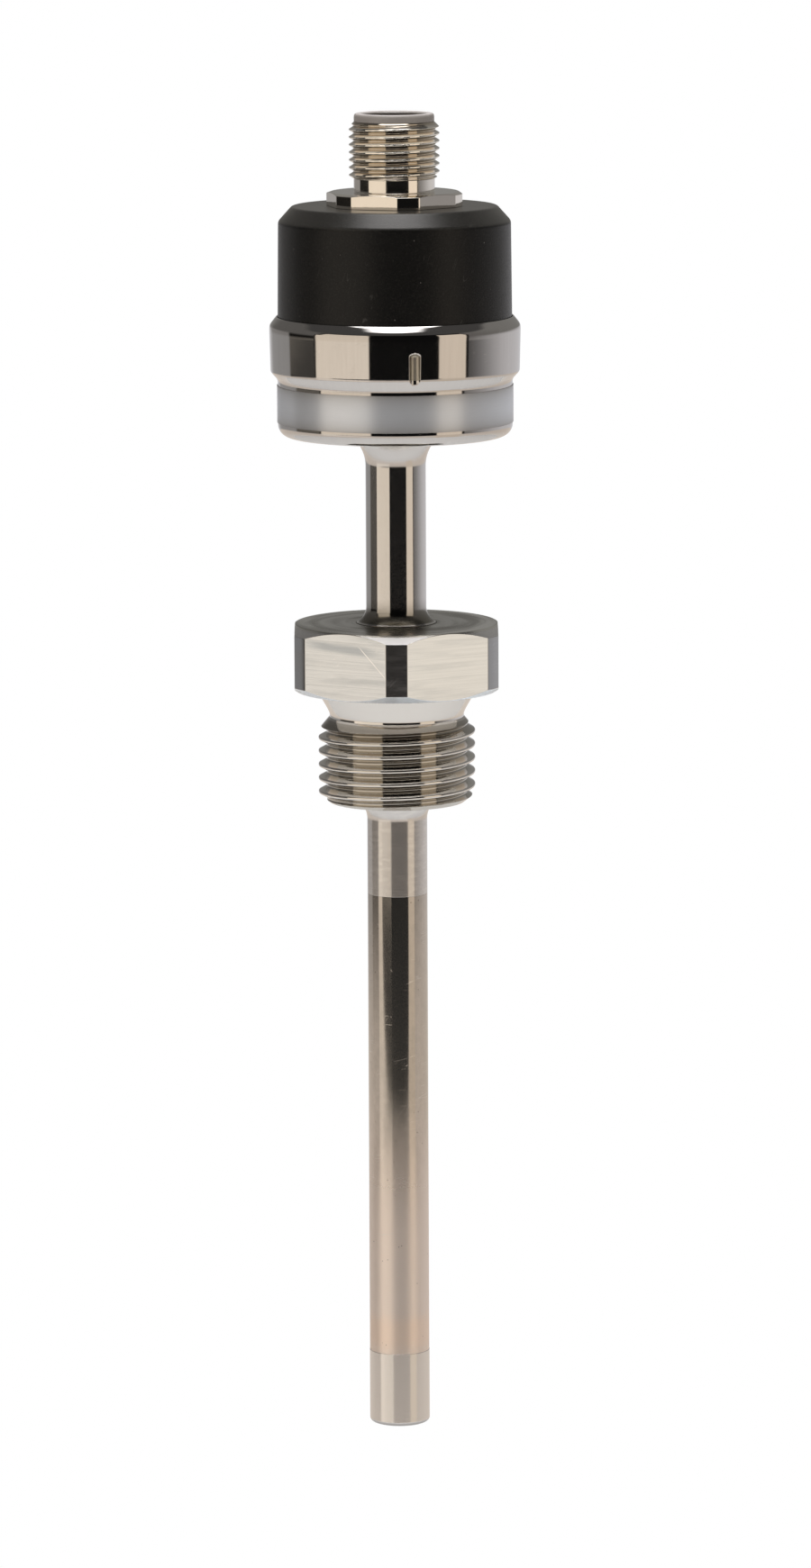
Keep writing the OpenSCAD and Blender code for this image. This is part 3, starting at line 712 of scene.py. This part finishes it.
FINISHES = {
    "stainless_turned": turned_steel(),
    "stainless_drawn": drawn_steel(),
    "stainless_polished": polished_steel(),
    "nickel_brass": nickel_plate(),
    "gold_contact": gold_plate(),
    "label_foil": label_foil(),
    "board_laminate": board_laminate(),
    "glass_sleeve": glass_braid(),
    "platinum_wire": plain_metal("platinum_wire", (0.68, 0.65, 0.61), (0.56, 0.53, 0.5), 0.22),
}
for slot, look in PLASTICS.items():
    FINISHES[slot] = moulded_plastic(slot, *look, **PLASTIC_EXTRAS.get(slot, {}))
for slot, look in CERAMICS.items():
    FINISHES[slot] = fired_ceramic(slot, *look)


# ------------------------------------------------ surfaces of numbers


def bearings(count, creases=(), spread=(0.15, 0.4, 0.8)):
    """Angles round the axis: an even set, and a few more on each side of every crease, in
    degrees."""
    even = np.arange(count) * 360 / count
    steps = np.array([0, *spread, *(-s for s in spread)])
    extra = np.add.outer(np.asarray(creases, float), steps).ravel() % 360
    return np.radians(np.unique(np.round(np.concatenate([even, extra]), 4)))


def arc(centre, radius, start, end, count=13):
    """Points (r, z) of an arc: centre + radius (cos a, sin a) for a from start to end degrees."""
    a = np.radians(np.linspace(start, end, count))
    return np.stack([centre[0] + radius * np.cos(a), centre[1] + radius * np.sin(a)], -1)


def fillet_height(radius, spread):
    """Height over which a fillet spreads by this much: the leg of its right triangle."""
    return math.sqrt(radius**2 - (radius - spread) ** 2)


def ease_corners(corners, eases, steps=5, closed=True):
    """Rounds the corners of an outline, column by column. corners is (corner, column, 2) in (r, z).
    Each corner P becomes the parabola (1-s)^2 A + 2 s (1-s) P + s^2 B, where A and B lie at the
    corner's ease along its two sides, or at 0.45 of a side that is too short."""
    back = np.roll(corners, 1, 0) - corners
    on = np.roll(corners, -1, 0) - corners
    back_length = np.maximum(np.linalg.norm(back, axis=-1, keepdims=True), 1e-9)
    on_length = np.maximum(np.linalg.norm(on, axis=-1, keepdims=True), 1e-9)
    ease = np.asarray(eases, float)[:, None, None]
    a = corners + back / back_length * np.minimum(ease, 0.45 * back_length)
    b = corners + on / on_length * np.minimum(ease, 0.45 * on_length)
    s = np.linspace(0, 1, steps)[:, None, None, None]
    curves = (1 - s) ** 2 * a + 2 * s * (1 - s) * corners + s**2 * b
    rows = []
    last = len(corners) - 1
    for i, size in enumerate(eases):
        pole = not closed and i in (0, last)
        rows.append(corners[i : i + 1] if size == 0 or pole else curves[:, i])
    return np.concatenate(rows)


def outline(*parts):
    """Joins corners, each (r, z, ease), and arcs or fills, each an (n, 2) array with no ease."""
    points, eases = [], []
    for part in parts:
        if isinstance(part, np.ndarray):
            points += part.tolist()
            eases += [0] * len(part)
        else:
            points.append(part[:2])
            eases.append(part[2])
    return np.array(points, float), eases


def lay_surface(name, rows, angles, slot, *stands_for, closed=True, slopes=None):
    """Makes a mesh of the grid (r cos a, r sin a, z), whose rows are (r, z) per column. The
    columns close round the axis, and the rows close on themselves where the outline is closed.
    A row of zero radius is one point. Vertex normals are the sum of the faces' areas as vectors,
    so that broad faces stay flat beside narrow eased edges. Where a slope dr/dz is given, and
    isn't NaN, the normal is (cos a, sin a, -dr/dz) instead."""
    count, columns = rows.shape[:2]
    r, z = rows[..., 0], rows[..., 1]
    points = np.stack([r * np.cos(angles), r * np.sin(angles), z], -1).reshape(-1, 3)
    index = np.arange(count * columns).reshape(count, columns)
    at_pole = r.max(1) < 1e-6
    index[at_pole] = index[at_pole, :1]
    upper = np.roll(index, -1, 0) if closed else index[1:]
    lower = index if closed else index[:-1]
    quads = np.stack([lower, np.roll(lower, -1, 1), np.roll(upper, -1, 1), upper], -1).reshape(-1, 4)
    used, compact = np.unique(quads, return_inverse=True)
    quads = compact.reshape(-1, 4)
    points = points[used]
    diagonals = points[quads[:, 2]] - points[quads[:, 0]], points[quads[:, 3]] - points[quads[:, 1]]
    areas = np.cross(*diagonals) / 2
    centres = points[quads].mean(1)
    if (centres * areas).sum() < 0:
        quads = quads[:, ::-1]
        areas = -areas
    normals = np.zeros_like(points)
    for corner in range(4):
        np.add.at(normals, quads[:, corner], areas)
    if slopes is not None:
        exact = np.stack([np.cos(angles) + 0 * r, np.sin(angles) + 0 * r, -slopes], -1)
        exact = exact.reshape(-1, 3)[used]
        normals = np.where(np.isnan(exact[:, 2:]), normals, exact)
    normals /= np.maximum(np.linalg.norm(normals, axis=1, keepdims=True), 1e-12)
    flat_top = quads[:, 0] == quads[:, 1]
    flat_end = quads[:, 2] == quads[:, 3]
    whole = quads[~(flat_top | flat_end)].tolist()
    fans = quads[flat_top][:, 1:].tolist() + quads[flat_end][:, :3].tolist()
    mesh = bpy.data.meshes.new(name)
    mesh.from_pydata((points * MM).tolist(), [], whole + fans)
    mesh.polygons.foreach_set("use_smooth", np.ones(len(mesh.polygons), bool))
    mesh.normals_split_custom_set_from_vertices(normals.tolist())
    mesh.materials.append(FINISHES[slot])
    piece = bpy.data.objects.new(name, mesh)
    bpy.context.scene.collection.objects.link(piece)
    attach(piece, "root")
    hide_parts(*stands_for)
    return piece


def revolve(name, slot, node, *parts, columns, closed=True):
    """A turned piece: one eased outline, the same at every bearing."""
    angles = bearings(columns)
    corners, eases = outline(*parts)
    rows = ease_corners(np.repeat(corners[:, None], len(angles), 1), eases, closed=closed)
    return lay_surface(name, rows, angles, slot, node, closed=closed)


def hexagon(count, across, land, turn):
    """Bearings for a hexagon, with more of them where its flats meet its turned corners, and the
    distance from the axis to its side at each. That is half the width across flats over the
    cosine of the angle from the nearest flat, or the radius of the turned corners."""
    half = math.degrees(math.acos(across / 2 / land))
    flats = math.degrees(turn) + 60 * np.arange(6)
    angles = bearings(count, np.concatenate([flats - half, flats + half]))
    from_flat = (angles - turn + math.pi / 6) % (math.pi / 3) - math.pi / 6
    return angles, np.minimum(across / 2 / np.cos(from_flat), land)


def whitworth(offset, pitch, crest):
    """Radius of a 55 degree thread with round crests and roots, at this axial offset from the
    crest: an arc of 0.1373 pitch, a straight flank, and the same arc turned over."""
    round_r = 0.137329 * pitch
    swing = round_r * math.cos(math.radians(27.5))
    depth = 0.640327 * pitch
    top = crest - round_r + np.sqrt(np.maximum(round_r**2 - offset**2, 0))
    far = pitch / 2 - offset
    root = crest - depth + round_r - np.sqrt(np.maximum(round_r**2 - far**2, 0))
    start = crest - round_r * (1 - math.sin(math.radians(27.5)))
    flank = start - (offset - swing) / math.tan(math.radians(27.5))
    return np.where(offset < swing, top, np.where(far < swing, root, flank))


def metric(offset, pitch, crest):
    """Radius of a 60 degree thread, at this axial offset from the crest: a flat of an eighth of
    the pitch, a flank, and a root rounded off by a smooth maximum."""
    depth = 0.6134 * pitch
    flank = crest - np.maximum(offset - pitch / 16, 0) / math.tan(math.radians(30))
    floor = crest - depth
    return (flank + floor + np.sqrt((flank - floor) ** 2 + (0.12 * pitch) ** 2)) / 2


def thread_rows(form, pitch, phase, envelope, angles, count):
    """Rows of a right-hand thread between the ends of a turned envelope, given as (r, z) points,
    and the wall's slope dr/dz at each of their points. The crest climbs one pitch a turn,
    z = phase + pitch a / 2 pi, and the radius is the smaller of the thread's and the envelope's,
    joined by a smooth minimum."""
    order = np.argsort([p[1] for p in envelope])
    heights = np.array([envelope[i][1] for i in order])
    radii = np.array([envelope[i][0] for i in order])

    def wall(z):
        turned = np.interp(z, heights, radii)[:, None]
        turns = (z[:, None] - phase) / pitch - angles / TAU
        offset = np.abs(turns - np.round(turns)) * pitch
        cut = form(offset, pitch, radii.max())
        return (turned + cut - np.sqrt((turned - cut) ** 2 + 0.04**2)) / 2

    z = np.linspace(envelope[0][1], envelope[-1][1], count)
    r = wall(z)
    slope = (wall(z + 0.002) - wall(z - 0.002)) / 0.004
    return np.stack([r, np.broadcast_to(z[:, None], r.shape)], -1), slope


def run_into_thread(corners, eases, thread, slope, tail, first=0):
    """Rows of eased corners, of a thread from its row number first, and of a tail, with the
    slopes along them, which are NaN off the thread."""
    head = ease_corners(np.concatenate([corners, thread[:1]]), [*eases, 0], closed=False)[:-1]
    rows = np.concatenate([head, thread[first:], tail])
    slopes = np.full(rows.shape[:2], np.nan)
    start = len(head) + 1 - first
    slopes[start : start + len(slope) - 2] = slope[1:-1]
    return rows, slopes


def corner_columns(angles, *corners):
    """The corners (r, z, ease) of an outline at every bearing, where r or z may change round the
    axis, as one array and the list of their eases."""
    columns = [np.stack(np.broadcast_arrays(r, z, angles)[:2], -1) for r, z, _ in corners]
    return np.stack(columns), [ease for _, _, ease in corners]


# ------------------------------------------------ the process fitting

FIT = 0.05
PROCESS_THREAD_R = 20.955 / 2
PROCESS_PITCH = 1.814
PROCESS_PHASE = -5.50
HEX_ROOT_R = WAIST_R + 1.7
WAIST_TOP = 2.944
WAIST_FOOT = 3.544
FULL_THREAD = 5.377
STUD_CHAMFER = 1.09
STEM_R = 4.0
STEM_BORE_R = 3.0
ROOT_FILLET = 3.0
STUD_FACE_R = PROCESS_THREAD_R - 1.45


def build_process_fitting():
    """Hexagon, undercut, G 1/2 stud and turned spigot in one closed surface round its bore."""
    low, high = node_box("process_fitting")
    top, spigot = high[2], low[2]
    seat = top - HEX_TOP
    stud = seat + STUD_FOOT
    neck_foot = node_box("neck_tube")[0][2]
    angles, reach = hexagon(240, HEX_ACROSS, HEX_LAND, 0.0)
    drop = (reach - HEX_FACE) * HEX_SLOPE
    corners, eases = corner_columns(
        angles,
        (STEM_BORE_R, spigot, 0.1),
        (STEM_BORE_R, neck_foot, 0.1),
        (STEM_R + FIT, neck_foot, 0.1),
        (STEM_R + FIT, top, 0.1),
        (HEX_FACE, top, 0.12),
        (reach, top - drop, 0.07),
        (reach, seat + drop, 0.07),
        (HEX_FACE, seat, 0.12),
        (HEX_ROOT_R, seat, 0.3),
        (WAIST_R, seat - WAIST_TOP, 1.3),
        (WAIST_R, seat - WAIST_FOOT, 0.25),
    )
    envelope = [
        (WAIST_R, seat - WAIST_FOOT),
        (PROCESS_THREAD_R, seat - FULL_THREAD),
        (PROCESS_THREAD_R, stud + STUD_CHAMFER),
        (STUD_FACE_R, stud),
    ]
    thread, slope = thread_rows(whitworth, PROCESS_PITCH, PROCESS_PHASE, envelope, angles, 200)
    spread = 0.4 * ROOT_FILLET
    middle = (STEM_R + ROOT_FILLET, stud - fillet_height(ROOT_FILLET, spread))
    root = arc(middle, ROOT_FILLET, 180 - math.degrees(math.acos(1 - spread / ROOT_FILLET)), 180)
    lower, lower_eases = outline((STUD_FACE_R - 0.15, stud, 0.1), (root[0][0] + 0.05, stud, 0.05),
                                 root, (STEM_R, spigot, 0.04), (STEM_BORE_R + 0.1, spigot, 0))
    tail = ease_corners(np.repeat(lower[:, None], len(angles), 1), lower_eases, closed=False)
    rows, slopes = run_into_thread(corners, eases, thread, slope, tail, first=1)
    lay_surface("fitting_body", rows, angles, "stainless_turned", "process_fitting", slopes=slopes)


# ------------------------------------------------ stem, neck and tip


def build_tip():
    """A plug with a rounded edge, a slight crown and the closed hollow behind it."""
    low, high = node_box("tip_plug")
    r = (high[0] - low[0]) / 2
    edge = 0.6
    revolve("tip_end", "stainless_turned", "tip_plug",
            (0, low[2], 0), (r * 0.5, low[2] + 0.01, 0.3),
            arc((r - edge, low[2] + edge), edge, -88, 0, 12),
            (r, high[2], 0.05), (STEM_BORE_R, high[2], 0.05),
            (STEM_BORE_R, low[2] + 2, 0.1), (0, low[2] + 2, 0),
            columns=128, closed=False)


def build_neck():
    """A tube whose outside flares at the weld on the hexagon and again at the housing."""
    low, high = node_box("neck_tube")
    top_of_hex = node_box("process_fitting")[1][2]
    base = node_box("housing")[0][2]
    foot, flare = 1.4, 2.0
    foot_r, flare_r = 2.4, 5.0
    foot_arc = arc((STEM_R + foot_r, top_of_hex + fillet_height(foot_r, foot)), foot_r,
                   180 + math.degrees(math.acos(1 - foot / foot_r)), 180)
    flare_arc = arc((STEM_R + flare_r, base - fillet_height(flare_r, flare)), flare_r,
                    180, 180 - math.degrees(math.acos(1 - flare / flare_r)))
    revolve("neck", "stainless_turned", "neck_tube",
            (STEM_BORE_R, low[2], 0.1), (STEM_R, low[2], 0.1), (STEM_R, top_of_hex, 0.05),
            foot_arc, flare_arc, (STEM_R, base, 0.05), (STEM_R, high[2], 0.1),
            (STEM_BORE_R, high[2], 0.1), columns=144)


# ------------------------------------------------ the crimped housing

BAND_R = 15.55
BAND_IN_R = 14.55
RING_TOP_R = 16.62
RING_IN_R = 15.7
LIP_R = 15.55
STAKE_R = 0.75
STAKE_DEPTH = 0.5
STAKE_ANGLES = -81 + 120 * np.arange(3)


def stake_cut(angles, z, low, high):
    """Radius of the surface that upright round stakes of radius STAKE_R press into the ring: the
    near side of a circle on its own axis, c cos a - sqrt(s^2 - c^2 sin^2 a), where the circle's
    radius s shrinks to nothing over its last stretch at the top."""
    axis = RING_R - STAKE_DEPTH + STAKE_R
    size = STAKE_R * np.sqrt(np.clip((high - z) / 0.3, 0, 1)) * (z > low)
    cut = np.full((len(z), len(angles)), RING_R + 4.0)
    for stake in np.radians(STAKE_ANGLES):
        swing = (angles - stake + math.pi) % TAU - math.pi
        side = axis * np.sin(swing)
        room = size[:, None] ** 2 - side**2
        near = axis * np.cos(swing) - np.sqrt(np.maximum(room, 0))
        cut = np.where((room > 0) & (np.abs(swing) < 0.2), near, cut)
    return cut


def build_housing():
    """Pressed cup: rounded corner, band, cove, crimped ring with its stakes, and rolled lip."""
    low, high = node_box("housing")
    base, lip = low[2], high[2]
    band_top = base + BAND_HEIGHT
    ring = band_top + COVE_HEIGHT
    ring_top = ring + 5.8
    floor = base + 1.2
    step = ring + 0.8
    angles = bearings(220, STAKE_ANGLES, np.arange(0.2, 4.61, 0.2))
    wall = np.stack([np.linspace(RING_R, RING_TOP_R, 44),
                     np.linspace(ring + 0.35, ring_top - 0.5, 44)], -1)
    cove = np.stack([np.linspace(BAND_R + 0.16, RING_R - 0.2, 9),
                     np.linspace(band_top + 0.06, ring - 0.24, 9)], -1)
    corner = arc((BAND_R - 1.6, base + 1.6), 1.6, -90, 0, 16)
    points, eases = outline(
        (STEM_R + FIT, base, 0.05), corner, (BAND_R, band_top - 0.3, 0.25), cove,
        (RING_R - 0.02, ring, 0.2), wall, (RING_TOP_R, ring_top, 0.35),
        (RING_TOP_R - 0.08, ring_top + 0.42, 0.45), (LIP_R + 0.12, lip, 0.35),
        (LIP_R, lip - 0.12, 0.08), (LIP_R, lip - 0.8, 0.1), (RING_IN_R, lip - 1.1, 0.1),
        (RING_IN_R, step, 0.1), (BAND_IN_R, step, 0.1), (BAND_IN_R, floor + 1, 0.6),
        (BAND_IN_R - 1, floor, 0.6), (STEM_R + FIT, floor, 0.05),
    )
    rows = ease_corners(np.repeat(points[:, None], len(angles), 1), eases)
    outside = (rows[:, 0, 0] > RING_IN_R + 0.1) & (rows[:, 0, 1] < ring_top)
    z = rows[outside, 0, 1]
    cut = stake_cut(angles, z, ring - 1, ring + STAKE_TOP)
    r = rows[outside, :, 0]
    rows[outside, :, 0] = (r + cut - np.sqrt((r - cut) ** 2 + 0.1**2)) / 2
    lay_surface("crimped_housing", rows, angles, "stainless_polished", "housing")


# ------------------------------------------------ cap, plug shell and carrier

CAP_R = 15.5
CAP_SHOULDER_R = CAP_R - 0.125
CAP_HOLLOW_R = 12.4
REAR_R = 6.5
FLANGE_ACROSS = 17.0
FLANGE_LAND = FLANGE_ACROSS / math.sqrt(3) - 0.75
FLANGE_FACE = FLANGE_ACROSS / 2 - 0.1
FLANGE_SLOPE = math.tan(math.radians(20))
FLANGE_TURN = math.radians(-48)
COLLAR_R = 5.35
PLUG_THREAD_R = 6.0
PLUG_PITCH = 1.0
PLUG_PHASE = 75.01
SHELL_BORE_R = 4.6
RIM_R = 5.3
SOCKET_R = 4.05
SOCKET_DEPTH = 7.8
KEY_ANGLE = 31.0
KEY_WIDTH = 1.4
KEY_HEIGHT = 0.8


def build_cap():
    """The moulded cap with its chamfer, its skirt, and the grooves for its two seals."""
    low, high = node_box("head_cap")
    foot, top = low[2], high[2]
    lip = node_box("housing")[1][2]
    skirt_r, rest_r = BAND_IN_R - FIT, RING_IN_R - FIT
    step, inside = foot + 5, top - 2.5
    groove_low, groove_high, groove_r = foot + 1.6, foot + 3.4, skirt_r - 1.1
    seal_in, seal_out, seal_floor = REAR_R + 0.5, REAR_R + 1.7, top - 0.8
    revolve("cap_shell", "black_polyamide", "head_cap",
            (CAP_HOLLOW_R, foot, 0.1), (skirt_r - 0.4, foot, 0.1), (skirt_r, foot + 0.4, 0.1),
            (skirt_r, groove_low, 0.05), (groove_r, groove_low, 0.05),
            (groove_r, groove_high, 0.05), (skirt_r, groove_high, 0.05),
            (skirt_r, step, 0.05), (rest_r, step, 0.1), (rest_r, lip - 1.15, 0.1),
            (CAP_R, lip - 0.85, 0.1), (CAP_R, lip, 0.1), (CAP_SHOULDER_R, top - CAP_CHAMFER, 0.35),
            (CAP_SHOULDER_R - 1.8, top, 0.3), (seal_out, top, 0.05), (seal_out, seal_floor, 0.05),
            (seal_in, seal_floor, 0.05), (seal_in, top, 0.05), (REAR_R + FIT, top, 0.05),
            (REAR_R + FIT, inside, 0.05), (CAP_HOLLOW_R, inside, 0.3), columns=240)


def build_connector_shell():
    """Flange hexagon, collar and M12 thread in one closed surface round the shell's bore."""
    low, high = node_box("connector_shell")
    rear, top = low[2], high[2]
    seat = node_box("head_cap")[1][2]
    flange_top = seat + FLANGE_HEIGHT
    thread_foot = flange_top + COLLAR_HEIGHT
    angles, reach = hexagon(216, FLANGE_ACROSS, FLANGE_LAND, FLANGE_TURN)
    drop = (reach - FLANGE_FACE) * FLANGE_SLOPE
    corners, eases = corner_columns(
        angles,
        (SHELL_BORE_R, rear, 0.05),
        (REAR_R - 0.4, rear, 0.05),
        (REAR_R, rear + 0.4, 0.05),
        (REAR_R, seat, 0.02),
        (reach, seat, 0.08),
        (reach, flange_top - drop, 0.06),
        (FLANGE_FACE, flange_top, 0.12),
        (COLLAR_R, flange_top, 0.15),
        (COLLAR_R, thread_foot, 0.05),
    )
    envelope = [
        (COLLAR_R, thread_foot),
        (PLUG_THREAD_R, thread_foot + 0.4),
        (PLUG_THREAD_R, top - 0.7),
        (PLUG_THREAD_R - 0.7, top),
    ]
    thread, slope = thread_rows(metric, PLUG_PITCH, PLUG_PHASE, envelope, angles, 196)
    mouth = corner_columns(angles, (SHELL_BORE_R, top, 0))[0]
    rows, slopes = run_into_thread(corners, eases, thread, slope, mouth)
    lay_surface("plug_shell", rows, angles, "nickel_brass", "connector_shell", slopes=slopes)


def build_contact_carrier():
    """Body, rim and socket; the coding key is a smooth step of the socket's wall inwards."""
    low, high = node_box("contact_carrier")
    foot, rim = low[2], high[2]
    shoulder = node_box("connector_shell")[1][2]
    floor = rim - SOCKET_DEPTH
    half = math.degrees(math.asin(KEY_WIDTH / 2 / SOCKET_R))
    angles = bearings(160, (KEY_ANGLE - half, KEY_ANGLE, KEY_ANGLE + half), (0.6, 1.2, 2.0, 3.5))
    swing = np.abs(np.degrees((angles - math.radians(KEY_ANGLE) + math.pi) % TAU - math.pi))
    key = 1 - np.clip((swing - half + 1.0) / 2.0, 0, 1)
    wall = SOCKET_R - KEY_HEIGHT * key * key * (3 - 2 * key)
    corners, eases = corner_columns(
        angles,
        (0, foot, 0),
        (SHELL_BORE_R - FIT, foot, 0.1),
        (SHELL_BORE_R - FIT, shoulder, 0.02),
        (RIM_R, shoulder, 0.12),
        (RIM_R, rim, 0.6),
        (SOCKET_R + 0.3, rim, 0.2),
        (SOCKET_R, rim - 0.3, 0.05),
        (wall, rim - 0.5, 0.12),
        (wall, floor, 0.1),
        (0, floor, 0),
    )
    rows = ease_corners(corners, eases, closed=False)
    lay_surface("plug_insert", rows, angles, "grey_polyamide", "contact_carrier", closed=False)


build_process_fitting()
build_tip()
build_neck()
build_housing()
build_cap()
build_connector_shell()
build_contact_carrier()


# ------------------------------------------------ the nodes that keep their CAD shape


def dress_nodes():
    """Gives each CAD node the finish that its material slot is named for."""
    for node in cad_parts.values():
        for slot in node.material_slots:
            slot.material = FINISHES[slot.material.name]


dress_nodes()


# ------------------------------------------------ floor

FLOOR_RADIUS = 0.9
FLOOR_GAP = 0.35


def lay_floor():
    """A pale round floor well below the hanging probe. Its edge fades to white for the eye."""
    sides = 96
    rings = np.array([0.3, 0.6, 0.9, 1.0]) * FLOOR_RADIUS
    height = CAD_BOUNDS[0][2] - FLOOR_GAP
    r, a = np.meshgrid(rings, bearings(sides), indexing="ij")
    points = np.stack([r * np.cos(a), r * np.sin(a), np.full(r.shape, height)], -1).reshape(-1, 3)
    grid = 1 + np.arange(r.size).reshape(r.shape)
    on = np.roll(grid, -1, 1)
    fan = np.stack([np.zeros(sides, int), grid[0], on[0]], -1)
    quads = np.stack([grid[:-1], grid[1:], on[1:], on[:-1]], -1).reshape(-1, 4)
    mesh = bpy.data.meshes.new("floor")
    mesh.from_pydata([(0.0, 0.0, height), *points.tolist()], [], fan.tolist() + quads.tolist())
    floor = bpy.data.objects.new("floor", mesh)
    bpy.context.scene.collection.objects.link(floor)
    f = Finish("pale_floor")
    f.set(Base_Color=(0.56, 0.56, 0.56), Roughness=0.9)
    fade = (f.polar()[0] * MM).rise(FLOOR_RADIUS * 0.45, FLOOR_RADIUS * 0.97)
    seen = f.node("ShaderNodeLightPath", output="Is Camera Ray")
    glow = f.node("ShaderNodeEmission", None, {"Color": WHITE})
    share = f.math("MAXIMUM", fade, 0.12) * seen
    mixed = f.node("ShaderNodeMixShader", None, {0: share, 1: f.surface, 2: glow})
    f.feed(f.outlet.inputs["Surface"], mixed)
    mesh.materials.append(f.material)


lay_floor()
